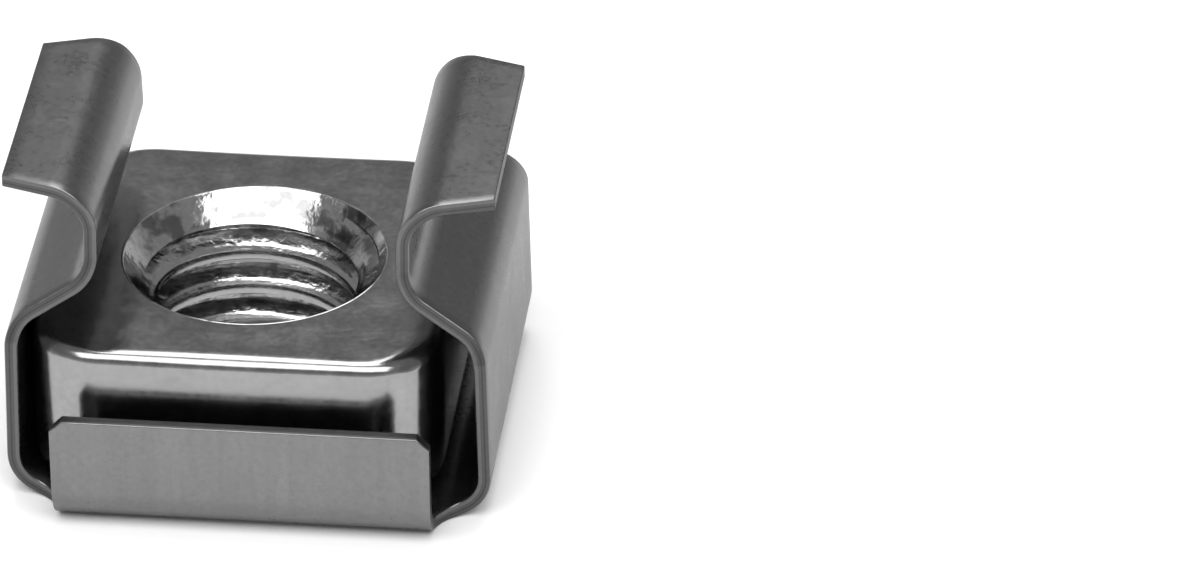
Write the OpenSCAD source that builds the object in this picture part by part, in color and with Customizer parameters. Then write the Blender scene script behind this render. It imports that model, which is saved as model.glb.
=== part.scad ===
// Rack cage nut: a loose square nut, threaded M6, held in a cage folded from one strip of
// spring steel. The cage snaps into a square rack hole by the two winged arms above the nut.
// Units are millimetres. The origin is on the underside of the cage's base, at the middle of
// its screw hole. +Z runs up the screw hole, and the arms stand at -X and +X.

/* [Rack hole] */
// Width of the square hole that the arms snap into
rack_hole_w = 9.5; // [9:0.1:10]
// Gap between each neck and the side of the rack hole
neck_clearance = 0.82; // [0.6:0.02:1]
// How far each wing tip reaches past the side of the rack hole
wing_grip = 1.2; // [0.9:0.05:1.8]
// Height of the wings' top faces above the top of the nut
wing_rise = 3.83; // [3.7:0.01:5]

/* [Nut] */
// Width of the square nut across its flats
nut_w = 10; // [9.6:0.1:10.4]
// Thickness of the nut
nut_t = 4.1; // [3.3:0.1:5]
// Radius of the nut's four upright corners
nut_corner_r = 1.9; // [1.2:0.1:2.2]
// Radius of the edges round the nut's upper face
nut_edge_r = 0.35; // [0.1:0.05:0.6]
// Radius of the edges round its lower face, which clear the bends of the cage
nut_base_edge_r = 0.65; // [0.6:0.05:0.8]
// Radius that rounds the upper end of each upright corner
nut_crown_r = 0.5; // [0.4:0.05:1]
// Radius that rounds the lower end of each upright corner
nut_foot_r = 0.9; // [0.8:0.05:1.2]
// Diameter of the screw that the thread is cut for
screw_d = 6; // [5.8:0.1:6.2]
// Distance from one turn of the thread to the next
thread_pitch = 1; // [0.75:0.05:1.25]
// Width of the countersink past the screw, at the mouth, on each side
countersink_rim = 0.25; // [0.1:0.05:0.5]
// How far the loose nut has slid along X in its cage
nut_slide = -0.36; // [-0.36:0.02:0.36]

/* [Cage] */
// Thickness of the spring-steel strip
sheet_t = 0.32; // [0.2:0.02:0.5]
// Play between the nut and each arm
arm_play = 0.58; // [0.52:0.01:0.8]
// Play between the nut and each flange
flange_play = 0.58; // [0.4:0.01:0.8]
// Room round the screw in the hole through the base, on each side
hole_clearance = 0.4; // [0.4:0.05:0.6]
// Inside radius of the four bends round the base
base_bend_r = 0.8; // [0.4:0.05:0.85]
// Radius of the relief in each corner between an arm and a flange
relief_r = 0.8; // [0.5:0.05:1]
// Distance from the side of a flange to where the arm's bend begins
flange_inset = 0.18; // [0.1:0.02:0.4]
// Height of the flanges above the underside of the base
flange_h = 3.05; // [1.8:0.05:3.8]
// Chamfer on the upper corners of the flanges
flange_chamfer = 0.3; // [0.1:0.05:0.8]

/* [Arms] */
// Distance from the side of an arm to where the flange's bend begins
arm_inset = 0.33; // [0.2:0.01:0.6]
// How far above the foot of the shoulders the arms begin to taper in
taper_rise = 0.1; // [0.05:0.05:0.5]
// How much each side of an arm tapers in between its shoulder and its neck
neck_taper = 0.73; // [0.5:0.01:1]
// How much each side of a wing tapers in between the neck and the wing's tip
wing_taper = 0.54; // [0.3:0.01:0.8]
// Lean of each arm toward the nut, in degrees
arm_lean = 1; // [0:0.5:2]
// How far below the top of the nut the shoulders begin
shoulder_drop = 0.22; // [0.1:0.02:0.4]
// Inside radius of the shoulders, where the arms fold in over the nut
shoulder_r = 0.8; // [0.7:0.05:1.1]
// Slope of the shoulders above the level, in degrees
shoulder_slope = 32; // [28:1:36]
// Inside radius of the bends below and above each neck
neck_r = 0.85; // [0.7:0.05:1]

/* [Hidden] */
$fn = 96;

// Nut
nut_half = nut_w / 2;
nut_bottom_z = sheet_t;
nut_top_z = nut_bottom_z + nut_t;
bore_r = (screw_d - thread_pitch) / 2;
mouth_r = screw_d / 2 + countersink_rim;
mouth_depth = mouth_r - bore_r;
corner_reach = (nut_half - nut_corner_r) * sqrt(2) + nut_corner_r;
corner_gap = 0.02; // keeps the rounding of a corner's ends clear of its upright middle

// Cage: half widths outside, and half widths of the base's flat between its bends
bend_outer_r = base_bend_r + sheet_t;
base_half_x = nut_half + arm_play + sheet_t;
base_half_y = nut_half + flange_play + sheet_t;
flat_half_x = base_half_x - bend_outer_r;
flat_half_y = base_half_y - bend_outer_r;
flange_half = flat_half_x - flange_inset;
hole_r = screw_d / 2 + hole_clearance;

// Arms: half widths from the shoulder up, and the half widths across the cage at neck and tip
arm_half = flat_half_y - arm_inset;
neck_side = arm_half - neck_taper;
tip_side = neck_side - wing_taper;
neck_half_x = rack_hole_w / 2 - neck_clearance;
wing_half_x = rack_hole_w / 2 + wing_grip;

// Headings of the strip as it folds, anticlockwise from +X
wall_heading = 90 + arm_lean;
slope_heading = 180 - shoulder_slope;

// Where the arm's bends begin and end, in its section
shoulder_z = nut_top_z - shoulder_drop;
shoulder_outer_r = shoulder_r + sheet_t;
cage_h = nut_top_z + wing_rise;
wall_run = (shoulder_z - bend_outer_r * (1 - cos(wall_heading))) / sin(wall_heading);
wall_top_x = base_half_x - bend_outer_r * (1 - sin(wall_heading)) + wall_run * cos(wall_heading);
slope_x = wall_top_x - shoulder_outer_r * (sin(wall_heading) - sin(slope_heading));
slope_z = shoulder_z + shoulder_outer_r * (cos(wall_heading) - cos(slope_heading));
slope_run = (slope_x - neck_half_x - neck_r * (1 - sin(slope_heading))) / -cos(slope_heading);
neck_z = slope_z + slope_run * sin(slope_heading) - neck_r * cos(slope_heading);
neck_top_z = cage_h - sheet_t - neck_r;
neck_mid_z = (neck_z + neck_top_z) / 2;
wing_run = wing_half_x - neck_half_x - neck_r;

// Allowance by which a cutting shape reaches past what it cuts
over = 1;

// A straight run of the strip seen edge-on. What follows it is drawn from its far end.
module run(length) {
    square([length, sheet_t]);
    translate([length, 0]) children();
}

// A bend seen edge-on, to the left for a positive angle and to the right for a negative one.
// What follows it is drawn from its far end, turned by the same angle.
module bend(inside_r, angle) {
    centre = [0, angle > 0 ? sheet_t + inside_r : -inside_r];
    outer_r = inside_r + sheet_t;
    translate(centre) {
        intersection() {
            difference() {
                circle(outer_r);
                circle(inside_r);
            }
            translate([0, -2 * outer_r]) square(4 * outer_r);
            rotate(angle) translate([-4 * outer_r, -2 * outer_r]) square(4 * outer_r);
        }
        rotate(angle) translate(-centre) children();
    }
}

// Half of the cage's section across both arms, from the middle of the base to a wing tip
module arm_section() {
    run(flat_half_x)
    bend(base_bend_r, wall_heading)
    run(wall_run)
    bend(shoulder_r, slope_heading - wall_heading)
    run(slope_run)
    bend(neck_r, 90 - slope_heading)
    run(neck_top_z - neck_z)
    bend(neck_r, -90)
    run(wing_run);
}

// Half of the cage's section across both flanges
module flange_section() {
    run(flat_half_y)
    bend(base_bend_r, 90)
    run(flange_h - bend_outer_r);
}

// Outline of the flanges seen from the front, with their upper corners taken off
module flange_front() {
    corner = flat_half_x - flange_half + flange_chamfer;
    polygon([
        [-flat_half_x, -over],
        [flat_half_x, -over],
        [flat_half_x, flange_h - corner],
        [flat_half_x - corner, flange_h],
        [corner - flat_half_x, flange_h],
        [-flat_half_x, flange_h - corner]
    ]);
}

// Plan of the folded cage, as wide as the arms one way and the flanges the other, with a
// rounded relief in each corner between them
module cage_plan() {
    square([2 * (base_half_x + over), 2 * arm_half], center = true);
    square([2 * flange_half, 2 * (base_half_y + over)], center = true);
    for (x = [0, 1], y = [0, 1]) mirror([x, 0]) mirror([0, y]) translate([flange_half, arm_half])
        difference() {
            square(relief_r);
            translate([relief_r, relief_r]) circle(relief_r);
        }
}

// What is cut from one side of both arms, so that they narrow from shoulder to neck, and from
// the foot of the wing to its tip
module arm_taper() {
    side = flat_half_y + over;
    foot_x = neck_half_x + sheet_t;
    far_x = wing_half_x + over;
    far_side = tip_side - over * wing_taper / (wing_half_x - foot_x);
    rotate([90, 0, 90]) linear_extrude(2 * (base_half_x + over), center = true) polygon([
        [arm_half, shoulder_z + taper_rise],
        [neck_side, neck_mid_z],
        [neck_side, cage_h + over],
        [side, cage_h + over],
        [side, shoulder_z + taper_rise]
    ]);
    for (x = [0, 1]) mirror([x, 0, 0]) translate([0, 0, neck_top_z]) linear_extrude(cage_h)
        polygon([[foot_x, neck_side], [far_x, far_side], [far_x, side], [foot_x, side]]);
}

// The base, its two winged arms and its two flanges, folded from one strip
module spring_cage() {
    color("#7b7d80") difference() {
        intersection() {
            union() {
                for (x = [0, 1]) mirror([x, 0, 0]) rotate([90, 0, 0])
                    linear_extrude(2 * flat_half_y, center = true) arm_section();
                intersection() {
                    for (y = [0, 1]) mirror([0, y, 0]) rotate([90, 0, 90])
                        linear_extrude(2 * flat_half_x, center = true) flange_section();
                    rotate([90, 0, 0]) linear_extrude(2 * (base_half_y + over), center = true) flange_front();
                }
            }
            translate([0, 0, -over]) linear_extrude(cage_h + 2 * over) cage_plan();
        }
        for (y = [0, 1]) mirror([0, y, 0]) arm_taper();
        translate([0, 0, -over]) cylinder(h = sheet_t + 2 * over, r = hole_r);
    }
}

// A square with its four corners rounded alike
module rounded_square(width, r) {
    square([width - 2 * r, width], center = true);
    square([width, width - 2 * r], center = true);
    for (x = [-1, 1], y = [-1, 1]) translate([x, y] * (width / 2 - r)) circle(r);
}

// Half section of the nut's blank, its outer edge rounded by one radius above and another below
module rounded_side(reach, upper_r, lower_r) {
    square([reach - lower_r, nut_t / 2]);
    translate([0, nut_t / 2]) square([reach - upper_r, nut_t / 2]);
    translate([0, lower_r]) square([reach, nut_t - lower_r - upper_r]);
    translate([reach - upper_r, nut_t - upper_r]) circle(upper_r);
    translate([reach - lower_r, lower_r]) circle(lower_r);
}

// Half section of the threaded bore at its tapping size, with a countersink at each mouth
module nut_bore() {
    polygon([
        [0, -over],
        [mouth_r + over, -over],
        [bore_r, mouth_depth],
        [bore_r, nut_t - mouth_depth],
        [mouth_r + over, nut_t + over],
        [0, nut_t + over]
    ]);
}

// The square nut, resting on the base inside the cage
module square_nut() {
    color("#8d8f92") translate([nut_slide, 0, nut_bottom_z]) difference() {
        intersection() {
            linear_extrude(nut_t) rounded_square(nut_w, nut_corner_r);
            intersection_for (heading = [0, 90]) rotate([90, 0, heading])
                linear_extrude(nut_w + over, center = true)
                    for (x = [0, 1]) mirror([x, 0]) rounded_side(nut_half, nut_edge_r, nut_base_edge_r);
            rotate_extrude() rounded_side(corner_reach + corner_gap, nut_crown_r, nut_foot_r);
        }
        rotate_extrude() nut_bore();
    }
}

spring_cage();
square_nut();
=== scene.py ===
import math

import bmesh
import bpy
from mathutils import Matrix, Vector
from mathutils.bvhtree import BVHTree


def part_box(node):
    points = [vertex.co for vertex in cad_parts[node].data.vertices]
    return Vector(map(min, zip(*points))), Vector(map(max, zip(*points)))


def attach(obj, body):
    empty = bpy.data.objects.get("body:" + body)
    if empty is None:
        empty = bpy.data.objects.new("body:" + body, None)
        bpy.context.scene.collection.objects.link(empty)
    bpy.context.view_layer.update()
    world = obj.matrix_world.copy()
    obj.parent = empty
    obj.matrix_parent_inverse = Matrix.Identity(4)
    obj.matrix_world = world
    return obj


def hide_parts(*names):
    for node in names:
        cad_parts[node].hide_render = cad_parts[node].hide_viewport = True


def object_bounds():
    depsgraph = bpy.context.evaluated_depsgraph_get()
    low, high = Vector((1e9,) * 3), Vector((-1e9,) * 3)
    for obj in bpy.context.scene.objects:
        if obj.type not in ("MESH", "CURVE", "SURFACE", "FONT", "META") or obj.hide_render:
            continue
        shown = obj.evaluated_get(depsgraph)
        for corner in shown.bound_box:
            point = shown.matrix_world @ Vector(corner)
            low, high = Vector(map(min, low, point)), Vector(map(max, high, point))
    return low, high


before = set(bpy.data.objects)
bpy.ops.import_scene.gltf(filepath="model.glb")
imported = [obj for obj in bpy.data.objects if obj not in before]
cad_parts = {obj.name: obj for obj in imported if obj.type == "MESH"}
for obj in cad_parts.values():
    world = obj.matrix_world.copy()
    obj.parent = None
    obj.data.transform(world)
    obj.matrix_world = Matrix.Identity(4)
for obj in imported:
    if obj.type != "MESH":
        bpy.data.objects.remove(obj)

cadLow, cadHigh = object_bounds()
nutLow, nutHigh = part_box("square_nut")
millimetres = 1000  # in a metre: pieces are modelled in millimetres and brought to metres at the end


def loosePiece(bm, name):
    mesh = bpy.data.meshes.new(name)
    bm.to_mesh(mesh)
    bm.free()
    piece = bpy.data.objects.new(name, mesh)
    bpy.context.collection.objects.link(piece)
    return piece


def finishMesh(bm, name, sharpAngle):
    bmesh.ops.scale(bm, vec=Vector((1, 1, 1)) / millimetres, verts=bm.verts)
    piece = loosePiece(bm, name)
    piece.data.shade_smooth()
    piece.data.set_sharp_from_angle(angle=math.radians(sharpAngle))
    return piece


def extrudeRow(bm, row, place):
    made = bmesh.ops.extrude_edge_only(bm, edges=row)["geom"]
    verts = [item for item in made if isinstance(item, bmesh.types.BMVert)]
    place(verts)
    return [item for item in made if isinstance(item, bmesh.types.BMEdge)]


def rowVerts(row):
    return list({vert for edge in row for vert in edge.verts})


# a quarter of the strip is folded, mirrored twice, then given its thickness

cage = {
    "sheet": 0.32,
    "bendRadius": 0.8,        # inside radius of the four bends round the base
    "armOuterX": 5.9,         # half width of the cage outside, across the arms
    "flangeHalf": 4.6,        # half width of a flange
    "flangeHeight": 3.05,
    "flangeChamfer": 0.3,
    "armHalf": 4.45,          # half width of an arm beside the nut
    "reliefRadius": 0.8,
    "holeRadius": 3.4,
    "lean": 1,                # of the arms toward the nut, in degrees
    "shoulderZ": 4.2,
    "shoulderRadius": 0.8,
    "shoulderSlope": 32,      # above the level, in degrees
    "neckX": 3.93,            # half width outside the necks
    "neckRadius": 0.85,
    "taperRise": 0.1,
    "neckSide": 3.72,         # half width of an arm at its neck
    "tipSide": 3.18,          # half width of a wing at its tip
    "degreesPerRow": 5,
    "edgeRound": 0.035,       # rounding that tumbling leaves on the sheared edges
    "rimAngle": 60,           # edges sharper than this are sheared ones
    "holeSteps": 36,          # in a quarter of the hole
    "foldCuts": 11,           # across half an arm or flange
}


def reliefSide(reach, near, side):
    centre = side + cage["reliefRadius"]
    gap = near + cage["reliefRadius"] - reach
    if gap <= 0:
        return side
    return centre - math.sqrt(max(cage["reliefRadius"] ** 2 - gap ** 2, 0))


def foldStrip(bm, row, moves, sideAt, axis):
    # axis 0 folds an arm in the XZ plane and axis 1 a flange in the YZ plane
    across = 1 - axis
    turnAxis = "Y" if axis == 0 else "X"
    turnSign = -1 if axis == 0 else 1
    heading = 0.0
    start = rowVerts(row)[0].co
    place = [start[axis], start.z]
    baseSide = max(vert.co[across] for vert in rowVerts(row))

    def narrow(verts, ratio):
        grow = [1, 1, 1]
        grow[across] = ratio
        bmesh.ops.scale(bm, vec=Vector(grow), verts=verts)

    side = baseSide
    for kind, size, angle, steps in moves:
        for step in range(steps):
            if kind == "run":
                length = size / steps
                shift = [0, 0, length * math.sin(heading)]
                shift[axis] = length * math.cos(heading)
                row = extrudeRow(bm, row, lambda verts: bmesh.ops.translate(
                    bm, vec=Vector(shift), verts=verts))
                place[0] += shift[axis]
                place[1] += shift[2]
            else:
                turn = math.radians(angle / steps)
                radius = size + cage["sheet"] if angle > 0 else -size
                middle = [0, 0, place[1] + radius * math.cos(heading)]
                middle[axis] = place[0] - radius * math.sin(heading)
                rotation = Matrix.Rotation(turnSign * turn, 3, turnAxis)
                row = extrudeRow(bm, row, lambda verts: bmesh.ops.rotate(
                    bm, cent=Vector(middle), matrix=rotation, verts=verts))
                heading += turn
                place = [middle[axis] + radius * math.sin(heading), middle[2] - radius * math.cos(heading)]
            newSide = sideAt(place)
            narrow(rowVerts(row), newSide / side)
            side = newSide
    return row


def bendSteps(angle):
    return max(2, round(abs(angle) / cage["degreesPerRow"]))


def armMoves():
    outer = cage["bendRadius"] + cage["sheet"]
    wall = math.radians(90 + cage["lean"])
    slope = math.radians(180 - cage["shoulderSlope"])
    shoulderOuter = cage["shoulderRadius"] + cage["sheet"]
    wallRun = (cage["shoulderZ"] - outer * (1 - math.cos(wall))) / math.sin(wall)
    wallTopX = cage["armOuterX"] - outer * (1 - math.sin(wall)) + wallRun * math.cos(wall)
    slopeX = wallTopX - shoulderOuter * (math.sin(wall) - math.sin(slope))
    slopeZ = cage["shoulderZ"] + shoulderOuter * (math.cos(wall) - math.cos(slope))
    slopeRun = (slopeX - cage["neckX"] - cage["neckRadius"] * (1 - math.sin(slope))) / -math.cos(slope)
    neckZ = slopeZ + slopeRun * math.sin(slope) - cage["neckRadius"] * math.cos(slope)
    neckTopZ = cadHigh.z * millimetres - cage["sheet"] - cage["neckRadius"]
    cage["neckTopZ"] = neckTopZ
    cage["neckMidZ"] = (neckZ + neckTopZ) / 2
    shoulderTurn = 90 - cage["lean"] - cage["shoulderSlope"]
    neckTurn = cage["shoulderSlope"] - 90
    return [
        ("bend", cage["bendRadius"], 90 + cage["lean"], bendSteps(90)),
        ("run", wallRun, 0, 4),
        ("bend", cage["shoulderRadius"], shoulderTurn, bendSteps(shoulderTurn)),
        ("run", slopeRun, 0, 2),
        ("bend", cage["neckRadius"], neckTurn, bendSteps(neckTurn)),
        ("run", neckTopZ - neckZ, 0, 1),
        ("bend", cage["neckRadius"], -90, bendSteps(90)),
        ("run", cadHigh.x * millimetres - cage["neckX"] - cage["neckRadius"], 0, 3),
    ]


def armSide(place):
    x, z = place
    if z < cage["shoulderZ"]:
        return reliefSide(x, cage["flangeHalf"], cage["armHalf"])
    foot = cage["shoulderZ"] + cage["taperRise"]
    if z < cage["neckMidZ"]:
        share = max(z - foot, 0) / (cage["neckMidZ"] - foot)
        return cage["armHalf"] + share * (cage["neckSide"] - cage["armHalf"])
    wingFoot = cage["neckX"] + cage["sheet"]
    share = max(x - wingFoot, 0) / (cadHigh.x * millimetres - wingFoot)
    return cage["neckSide"] + share * (cage["tipSide"] - cage["neckSide"])


def flangeSide(place):
    y, z = place
    chamferZ = cage["flangeHeight"] - cage["flangeChamfer"]
    if z > chamferZ:
        return cage["flangeHalf"] - (z - chamferZ)
    return reliefSide(y, cage["armHalf"], cage["flangeHalf"])


def makeCage():
    outer = cage["bendRadius"] + cage["sheet"]
    flatX = cage["armOuterX"] - outer
    flatY = cadHigh.y * millimetres - outer
    bm = bmesh.new()
    # a quarter of the base: an arc of the hole's edge, the fold lines and the corner between them
    first = bm.verts.new((cage["holeRadius"], 0, 0))
    arc = bmesh.ops.spin(bm, geom=[first], cent=(0, 0, 0), axis=(0, 0, 1), dvec=(0, 0, 0),
                         angle=math.pi / 2, steps=cage["holeSteps"], use_duplicate=False)
    last = next(item for item in arc["geom_last"] if isinstance(item, bmesh.types.BMVert))
    corners = [last] + [bm.verts.new(place) for place in (
        (0, flatY, 0),
        (reliefSide(flatY, cage["armHalf"], cage["flangeHalf"]), flatY, 0),
        (flatX, reliefSide(flatX, cage["flangeHalf"], cage["armHalf"]), 0),
        (flatX, 0, 0),
    )] + [first]
    sides = [bm.edges.new(pair) for pair in zip(corners, corners[1:])]
    for fold in (sides[1], sides[3]):
        bmesh.ops.subdivide_edges(bm, edges=[fold], cuts=cage["foldCuts"])
    flangeRow = [edge for edge in bm.edges if all(abs(vert.co.y - flatY) < 1e-6 for vert in edge.verts)]
    armRow = [edge for edge in bm.edges if all(abs(vert.co.x - flatX) < 1e-6 for vert in edge.verts)]
    bmesh.ops.triangle_fill(bm, use_beauty=True, edges=bm.edges[:], normal=(0, 0, -1))
    foldStrip(bm, armRow, armMoves(), armSide, 0)
    straight = cage["flangeHeight"] - outer - cage["flangeChamfer"]
    foldStrip(bm, flangeRow, [
        ("bend", cage["bendRadius"], 90, bendSteps(90)),
        ("run", straight, 0, 2),
        ("run", cage["flangeChamfer"], 0, 1),
    ], flangeSide, 1)
    for axis in ("X", "Y"):
        bmesh.ops.mirror(bm, geom=bm.verts[:] + bm.edges[:] + bm.faces[:], axis=axis, merge_dist=1e-4)
    bmesh.ops.remove_doubles(bm, verts=bm.verts, dist=1e-4)
    bmesh.ops.recalc_face_normals(bm, faces=bm.faces)
    lowest = min(bm.faces, key=lambda face: face.calc_center_median().z)
    if lowest.normal.z > 0:
        bmesh.ops.reverse_faces(bm, faces=bm.faces)
    underside = BVHTree.FromBMesh(bm)
    bmesh.ops.solidify(bm, geom=bm.faces[:] + bm.edges[:] + bm.verts[:], thickness=cage["sheet"])
    bmesh.ops.recalc_face_normals(bm, faces=bm.faces)
    sharp = math.radians(cage["rimAngle"])
    rims = [edge for edge in bm.edges if edge.is_manifold and edge.calc_face_angle() > sharp]
    bmesh.ops.bevel(bm, geom=rims, offset=cage["edgeRound"], offset_type="OFFSET", segments=3, profile=0.5,
                    affect="EDGES", material=-1, clamp_overlap=True)
    depth = bm.verts.layers.float.new("depth")
    for vert in bm.verts:
        vert[depth] = underside.find_nearest(vert.co)[3] / cage["sheet"]
        vert.co.z = max(vert.co.z, 0)
    return finishMesh(bm, "springCage", 35)


# rings run out from the upper countersink, down the sides and in again below

nut = {
    "cornerRadius": 1.9,      # of the upright corners
    "edgeRadius": 0.35,       # round the upper face
    "baseEdgeRadius": 0.65,   # round the lower face
    "crownRadius": 0.5,       # rounds the upper ends of the upright corners
    "footRadius": 0.9,        # rounds their lower ends
    "cornerGap": 0.02,        # keeps both roundings clear of the corners' upright middles
    "mouthRadius": 3.25,      # of the countersinks
    "mouthRound": 0.05,
    "mouthRing": 0.4,         # a ring this far down the countersinks
    "faceInsets": (1.3, 1.1, 0.9, 0.75, 0.6, 0.48),  # rings this far in from the sides
    "drillRadius": 2.4,       # a little under the thread's crests
    "around": 192,
    "threadMinor": 2.5,
    "threadMajor": 3.03,
    "pitch": 1.0,
    "threadStart": 252,       # heading of the thread's start, in degrees
    "threadSteps": 96,
}


def outlineReach(angle, half, corner):
    # distance from the axis to the side of a square with rounded corners
    fold = abs((math.degrees(angle) + 45) % 90 - 45)
    along, across = math.cos(math.radians(fold)), math.sin(math.radians(fold))
    inner = half - corner
    if half * across / along <= inner:
        return half / along
    return inner * (along + across) + math.sqrt(corner ** 2 - inner ** 2 * (along - across) ** 2)


def drop(reach, limit, radius):
    # how far a rounded edge has fallen where it comes within its radius of the limit
    into = min(max(reach - limit + radius, 0), radius)
    return radius - math.sqrt(radius ** 2 - into ** 2)


def makeNutBlank():
    half = (nutHigh.x - nutLow.x) / 2 * millimetres
    thick = (nutHigh.z - nutLow.z) * millimetres
    cornerReach = (half - nut["cornerRadius"]) * math.sqrt(2) + nut["cornerRadius"] + nut["cornerGap"]
    mouth, soft = nut["mouthRadius"], nut["mouthRound"]
    depth = mouth - nut["drillRadius"]
    down, insets = nut["mouthRing"], nut["faceInsets"]
    bm = bmesh.new()
    made = bmesh.ops.create_circle(bm, segments=nut["around"], radius=nut["drillRadius"])
    bmesh.ops.translate(bm, vec=Vector((0, 0, thick - depth)), verts=made["verts"])
    firstRow = bm.edges[:]
    row = firstRow

    def ring(row, reachAt, heightAt):
        def place(verts):
            for vert in verts:
                angle = math.atan2(vert.co.y, vert.co.x)
                reach = reachAt(angle)
                vert.co = Vector((reach * math.cos(angle), reach * math.sin(angle), heightAt(angle, reach)))
        return extrudeRow(bm, row, place)

    def sideways(angle):
        return outlineReach(angle, half, nut["cornerRadius"])

    def faceRings(row, up, order):
        crown = nut["crownRadius"] if up else nut["footRadius"]
        edge = nut["edgeRadius"] if up else nut["baseEdgeRadius"]

        def height(angle, reach):
            fall = max(drop(reach, sideways(angle), edge), drop(reach, cornerReach, crown))
            return thick - fall if up else fall

        steps = [(share, 0) for share in (0.0, 0.25, 0.5, 0.75)]
        steps += [(1, inset) for inset in insets]
        steps += [(1, edge * (1 - math.sin(math.radians(turn)))) for turn in (0, 15, 30, 45, 60, 75, 90)]
        for share, inset in (steps if order > 0 else reversed(steps)):
            if share < 1:
                reachAt = lambda angle: mouth + soft + (sideways(angle) - insets[0] - mouth - soft) * share
            else:
                reachAt = lambda angle: sideways(angle) - inset
            row = ring(row, reachAt, height)
        return row

    # the countersink, its softened rim and the upper face
    row = ring(row, lambda angle: mouth - down, lambda angle, reach: thick - down)
    for turn in (22.5, 45, 67.5):
        tilt = math.radians(turn)
        row = ring(row, lambda angle: mouth - soft * math.cos(tilt),
                   lambda angle, reach: thick - soft * (1 - math.sin(tilt)))
    row = faceRings(row, True, 1)
    row = ring(row, sideways, lambda angle, reach: thick * 0.5)
    row = faceRings(row, False, -1)
    for turn in (67.5, 45, 22.5):
        tilt = math.radians(turn)
        row = ring(row, lambda angle: mouth - soft * math.cos(tilt),
                   lambda angle, reach: soft * (1 - math.sin(tilt)))
    row = ring(row, lambda angle: mouth - down, lambda angle, reach: down)
    row = ring(row, lambda angle: nut["drillRadius"], lambda angle, reach: depth)
    bmesh.ops.bridge_loops(bm, edges=row + firstRow)
    bmesh.ops.recalc_face_normals(bm, faces=bm.faces)
    return loosePiece(bm, "nutBlank")


def makeThreadCutter():
    thick = (nutHigh.z - nutLow.z) * millimetres
    minor, major, pitch = nut["threadMinor"], nut["threadMajor"], nut["pitch"]
    flank = (major - minor) * math.tan(math.radians(30))
    crest = 0.5 * pitch - flank - 0.06
    # one turn from crest to crest, with the hundredths that round the crests and the root
    outline = [
        (minor, 0),
        (minor, crest - 0.04),
        (minor + 0.02, crest),
        (major - 0.03, 0.5 * pitch - 0.085),
        (major, 0.5 * pitch - 0.04),
        (major, 0.5 * pitch + 0.04),
        (major - 0.03, 0.5 * pitch + 0.085),
        (minor + 0.02, pitch - crest),
        (minor, pitch - crest + 0.04),
        (minor, pitch),
    ]
    turns = math.ceil(thick / pitch) + 4
    bm = bmesh.new()
    verts = [bm.verts.new((reach, 0, height - 2 * pitch)) for reach, height in outline]
    edges = [bm.edges.new(pair) for pair in zip(verts, verts[1:])]
    steps = nut["threadSteps"]
    bmesh.ops.spin(bm, geom=verts + edges, cent=(0, 0, 0), axis=(0, 0, 1), dvec=(0, 0, pitch / steps),
                   angle=2 * math.pi * turns, steps=steps * turns, use_duplicate=False)
    bmesh.ops.remove_doubles(bm, verts=bm.verts, dist=2e-4)
    for height, side in ((-0.6, -1), (thick + 0.6, 1)):
        cut = bmesh.ops.bisect_plane(bm, geom=bm.verts[:] + bm.edges[:] + bm.faces[:], dist=1e-5,
                                     plane_co=(0, 0, height), plane_no=(0, 0, side), clear_outer=True)
        rim = [item for item in cut["geom_cut"] if isinstance(item, bmesh.types.BMEdge)]
        bmesh.ops.edgeloop_fill(bm, edges=rim)
    bmesh.ops.rotate(bm, cent=(0, 0, 0), matrix=Matrix.Rotation(math.radians(nut["threadStart"]), 3, "Z"),
                     verts=bm.verts)
    bmesh.ops.recalc_face_normals(bm, faces=bm.faces)
    return loosePiece(bm, "threadCutter")


def makeNut():
    blank, cutter = makeNutBlank(), makeThreadCutter()
    cut = blank.modifiers.new("thread", "BOOLEAN")
    cut.operation = "DIFFERENCE"
    cut.solver = "EXACT"
    cut.object = cutter
    done = blank.evaluated_get(bpy.context.evaluated_depsgraph_get())
    bm = bmesh.new()
    bm.from_mesh(done.to_mesh())
    for piece in (blank, cutter):
        bpy.data.objects.remove(piece)
    middle = (nutLow + nutHigh) / 2 * millimetres
    bmesh.ops.translate(bm, vec=Vector((middle.x, middle.y, nutLow.z * millimetres)), verts=bm.verts)
    return finishMesh(bm, "squareNut", 30)


class Value:
    def __init__(self, finish, socket):
        self.finish, self.socket = finish, socket

    def work(self, operation, *terms):
        return self.finish.node("ShaderNodeMath", {"operation": operation}, dict(enumerate(terms)))

    def __add__(self, other):
        return self.work("ADD", self, other)

    def __radd__(self, other):
        return self.work("ADD", other, self)

    def __sub__(self, other):
        return self.work("SUBTRACT", self, other)

    def __rsub__(self, other):
        return self.work("SUBTRACT", other, self)

    def __mul__(self, other):
        return self.work("MULTIPLY", self, other)

    def __rmul__(self, other):
        return self.work("MULTIPLY", other, self)

    def __pow__(self, other):
        return self.work("POWER", self, other)


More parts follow.
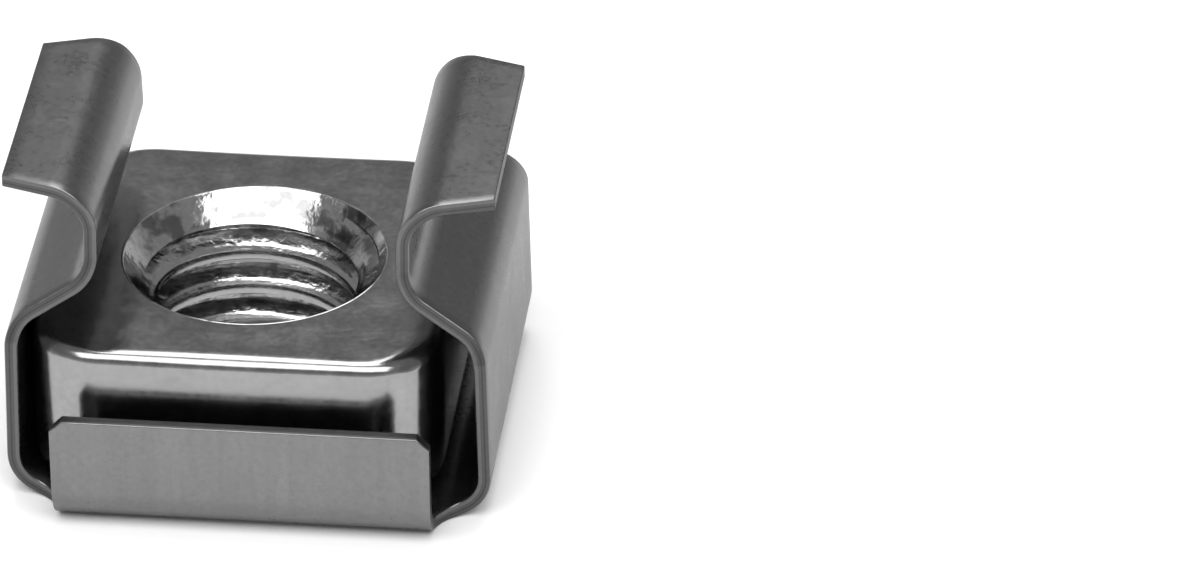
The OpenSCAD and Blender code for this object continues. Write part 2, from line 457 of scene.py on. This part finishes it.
class Finish:
    def __init__(self, name):
        self.material = bpy.data.materials.new(name)
        self.material.use_nodes = True
        self.nodes = self.material.node_tree.nodes
        self.links = self.material.node_tree.links
        self.surface = self.nodes["Principled BSDF"]

    def put(self, node, key, value):
        socket = node.inputs[key]
        if isinstance(value, Value):
            self.links.new(value.socket, socket)
        elif isinstance(value, (int, float)) and socket.type in ("RGBA", "VECTOR"):
            socket.default_value = [value] * 3 + [1] * (socket.type == "RGBA")
        else:
            socket.default_value = value

    def node(self, kind, settings, inputs, output=0):
        node = self.nodes.new(kind)
        for key, value in settings.items():
            setattr(node, key, value)
        for key, value in inputs.items():
            self.put(node, key, value)
        return Value(self, node.outputs[output])

    def place(self):
        return self.node("ShaderNodeTexCoord", {}, {}, "Object")

    def split(self, where):
        split = self.node("ShaderNodeSeparateXYZ", {}, {"Vector": where}).socket.node
        return [Value(self, output) for output in split.outputs]

    def noise(self, where, scale, detail, stretch=(1, 1, 1)):
        spread = self.node("ShaderNodeMapping", {}, {"Vector": where, "Scale": stretch})
        return self.node("ShaderNodeTexNoise", {}, {"Vector": spread, "Scale": scale, "Detail": detail})

    def fade(self, value, low, high, start=0.0, end=1.0):
        return self.node("ShaderNodeMapRange", {"interpolation_type": "SMOOTHSTEP"}, {
            "Value": value, "From Min": low, "From Max": high, "To Min": start, "To Max": end})

    def bump(self, height, distance, strength):
        return self.node("ShaderNodeBump", {}, {"Height": height, "Distance": distance, "Strength": strength})

    def use(self, **sockets):
        for key, value in sockets.items():
            self.put(self.surface, key.replace("_", " "), value)


cageLook = {
    "tone": 0.2,
    "mottleScale": 7000,
    "mottleTone": 0.14,       # how much the mottling darkens and lightens the plating
    "streakScale": 3800,
    "streakTone": 0.10,
    "roughness": 0.3,
    "roughSwing": 0.14,
    "cloudScale": 1100,
    "bumpHeight": 0.000002,
    "bumpStrength": 0.3,
    "edgeTint": 0.7,          # keeps the plating from mirroring where it is seen edge-on
    "shearTone": 0.5,         # tone of a sheared edge against the plating's
    "shearLine": 0.36,        # where the cut turned into a break, as a share of the thickness
}


def cageSteel():
    steel = Finish("cageSteel")
    where = steel.place()
    depth = steel.node("ShaderNodeAttribute", {"attribute_name": "depth"}, {}, "Fac")
    mottle = steel.noise(where, cageLook["mottleScale"], 3)
    cloud = steel.noise(where, cageLook["cloudScale"], 2)
    streak = steel.noise(where, cageLook["streakScale"], 3, (1, 1, 0.08))
    sheared = steel.fade(depth, 0.03, 0.1) * steel.fade(depth, 0.9, 0.97, 1, 0)
    line = steel.fade(depth, cageLook["shearLine"] - 0.07, cageLook["shearLine"]) * steel.fade(
        depth, cageLook["shearLine"], cageLook["shearLine"] + 0.12, 1, 0)
    burnish = steel.fade(depth, 0.62, 0.7)
    shearTone = cageLook["shearTone"] + burnish * 0.25 - line * 0.2
    varied = 1 + (mottle - 0.5) * 2 * cageLook["mottleTone"] + (streak - 0.5) * 2 * cageLook["streakTone"]
    tone = cageLook["tone"] * varied * (1 - sheared * (1 - shearTone))
    rough = cageLook["roughness"] + (cloud - 0.5) * 0.12 + sheared * 0.1
    rough = rough + (mottle - 0.5) * cageLook["roughSwing"]
    height = streak + sheared * steel.noise(where, 5000, 2, (1, 0.2, 1))
    bumps = steel.bump(height, cageLook["bumpHeight"], cageLook["bumpStrength"])
    steel.use(Base_Color=tone, Metallic=1.0, Roughness=rough, Normal=bumps,
              Specular_Tint=cageLook["edgeTint"])
    return steel.material


nutLook = {
    "tone": 0.3,
    "mottleScale": 6500,
    "mottleTone": 0.16,
    "roughness": 0.19,
    "boreRoughness": 0.13,
    "boreTone": 1.8,          # tone of the freshly cut bore against the plating's
    "blotchTone": 0.6,         # how much the dark blotches, random in place over the countersink, darken it
    "chatterCount": 44,       # ripples that the countersink's cutter left round its cone
    "chatterHeight": 0.5,
    "cloudScale": 1300,
    "coneFoot": (0.0026, 0.0027),     # reach over which the thread gives way to the countersink
    "mouthEdge": (0.00322, 0.00327),  # and the countersink to the face
    "bumpHeight": 0.000006,
    "bumpStrength": 0.4,
}


def nutSteel():
    steel = Finish("nutSteel")
    where = steel.place()
    x, y = steel.split(where)[:2]
    middle = (nutLow.x + nutHigh.x) / 2
    reach = ((x - middle) ** 2 + y ** 2) ** 0.5
    heading = steel.node("ShaderNodeMath", {"operation": "ARCTAN2"}, {0: y, 1: x - middle})
    mottle = steel.noise(where, nutLook["mottleScale"], 4)
    cloud = steel.noise(where, nutLook["cloudScale"], 3)
    cut = steel.fade(reach, *nutLook["mouthEdge"], 1, 0)
    cone = cut * steel.fade(reach, *nutLook["coneFoot"])
    ripples = heading * nutLook["chatterCount"] + cloud * 9
    chatter = steel.node("ShaderNodeMath", {"operation": "SINE"}, {0: ripples})
    varied = 1 + (mottle - 0.5) * 2 * nutLook["mottleTone"] + (cloud - 0.5) * 0.3
    # dark blotches over part of the countersink, placed by cloud noise
    blotch = cone * steel.fade(cloud, 0.46, 0.6)
    freshness = 1 + cut * (nutLook["boreTone"] - 1)
    tone = nutLook["tone"] * varied * freshness * (1 - blotch * nutLook["blotchTone"])
    rough = nutLook["roughness"] + (cloud - 0.5) * 0.16 + (mottle - 0.5) * 0.1
    rough = rough - cut * (nutLook["roughness"] - nutLook["boreRoughness"])
    height = mottle * 0.6 + cloud * 1.6 + cut * (mottle * 3 + cloud * 3) + cone * (
        chatter * nutLook["chatterHeight"] + cloud * 6)
    bumps = steel.bump(height, nutLook["bumpHeight"], nutLook["bumpStrength"])
    steel.use(Base_Color=tone, Metallic=1.0, Roughness=rough, Normal=bumps)
    return steel.material


cagePiece = makeCage()
cagePiece.data.materials.append(cageSteel())
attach(cagePiece, "root")
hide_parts("spring_cage")
print("cage folded:", len(cagePiece.data.polygons), "faces")

nutPiece = makeNut()
nutPiece.data.materials.append(nutSteel())
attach(nutPiece, "root")
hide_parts("square_nut")
print("nut threaded:", len(nutPiece.data.polygons), "faces")


studio = {
    "floorSize": 3.0,
    "floorTone": 0.95,
    "worldLow": 0.75,         # brightness of the surroundings at the horizon
    "worldHigh": 0.28,        # and overhead
    "worldFade": 0.35,        # height, as a share of the way up, from which they stay as overhead
}

softboxes = {
    "rearBox": {"place": (0, 0.16, 0.34), "size": (0.16, 0.3), "power": 0.62},
    "frontBox": {"place": (0, -0.17, 0.3), "size": (0.5, 0.25), "power": 1.5},
}


def makeFloor():
    bm = bmesh.new()
    bmesh.ops.create_grid(bm, x_segments=1, y_segments=1, size=studio["floorSize"])
    floor = loosePiece(bm, "floor")
    paper = Finish("floorPaper")
    paper.use(Base_Color=studio["floorTone"], Roughness=0.9, Specular_IOR_Level=0.0)
    floor.data.materials.append(paper.material)


def makeWorld():
    world = bpy.data.worlds.new("studioWorld")
    world.use_nodes = True
    bpy.context.scene.world = world
    nodes, links = world.node_tree.nodes, world.node_tree.links
    heading = nodes.new("ShaderNodeTexCoord")
    split = nodes.new("ShaderNodeSeparateXYZ")
    ramp = nodes.new("ShaderNodeValToRGB")
    stops = ((0, studio["worldLow"]), (studio["worldFade"], studio["worldHigh"]))
    for element, (position, tone) in zip(ramp.color_ramp.elements, stops):
        element.position, element.color = position, (tone, tone, tone, 1)
    links.new(heading.outputs["Generated"], split.inputs[0])
    links.new(split.outputs["Z"], ramp.inputs["Fac"])
    links.new(ramp.outputs["Color"], nodes["Background"].inputs["Color"])


def addSoftbox(name, place, size, power):
    lamp = bpy.data.lights.new(name, "AREA")
    lamp.shape = "RECTANGLE"
    lamp.size, lamp.size_y = size
    lamp.energy = power
    holder = bpy.data.objects.new(name, lamp)
    holder.location = place
    holder.rotation_euler = Vector(place).to_track_quat("Z", "Y").to_euler()
    bpy.context.collection.objects.link(holder)


makeFloor()
makeWorld()
for name, box in softboxes.items():
    addSoftbox(name, **box)
print("studio lit")


camera = {
    "azimuth": 6.3465,
    "elevation": 31.593,
    "roll": -0.524,
    "distance": 0.22799,
    "lens": 280.43,
    "across": 0.0080565,      # the view's axis passes this far to the right of the cage's middle
    "above": -0.00097287,
    "height": 0.0045,
}


def makeCamera():
    a, e = math.radians(camera["azimuth"]), math.radians(camera["elevation"])
    back = Vector((math.sin(a) * math.cos(e), -math.cos(a) * math.cos(e), math.sin(e)))
    right = Vector((math.cos(a), math.sin(a), 0))
    roll = Matrix.Rotation(math.radians(camera["roll"]), 3, back)
    right = roll @ right
    up = back.cross(right)
    lens = bpy.data.cameras.new("studioCamera")
    lens.lens = camera["lens"]
    lens.clip_start, lens.clip_end = 0.01, 10
    holder = bpy.data.objects.new("studioCamera", lens)
    aim = Vector((0, 0, camera["height"])) + right * camera["across"] + up * camera["above"]
    turn = Matrix((right, up, back)).transposed().to_4x4()
    holder.matrix_world = Matrix.Translation(aim + back * camera["distance"]) @ turn
    bpy.context.collection.objects.link(holder)
    bpy.context.scene.camera = holder


makeCamera()
bpy.context.scene.view_settings.view_transform = "Standard"
